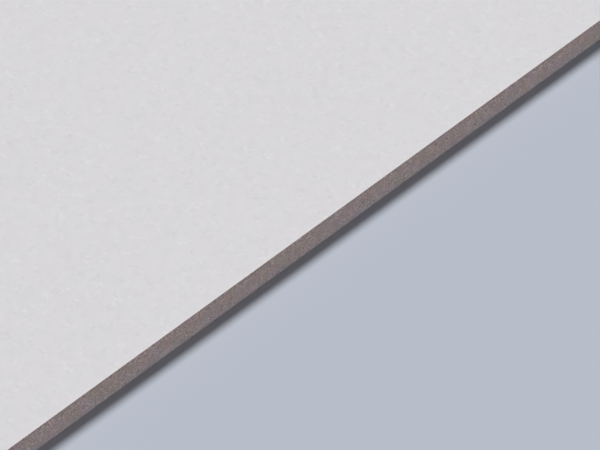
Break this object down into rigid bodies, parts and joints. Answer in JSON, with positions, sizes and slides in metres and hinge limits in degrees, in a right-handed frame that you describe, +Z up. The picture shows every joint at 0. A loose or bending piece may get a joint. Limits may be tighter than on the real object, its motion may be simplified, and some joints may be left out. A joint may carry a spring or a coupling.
{
  "type": "drywall sheet",
  "caption": "Flat gypsum wallboard sheet with smooth paper face, tapered folded-paper long edges and square-cut ends that show the core.",
  "frame": {"origin": "middle of the back face, which is the sheet's lowest plane as it lies flat", "axes": "+X along the length, from one sawn end to the other; +Y across the width, from one tapered edge to the other; +Z up through the thickness, out of the face paper"},
  "size_m": [2.4384, 1.2192, 0.0127],
  "materials": {
    "face_paper": "matte"
  },
  "bodies": {
    "root": {"drywall_sheet": "face_paper"}
  },
  "joints": []
}
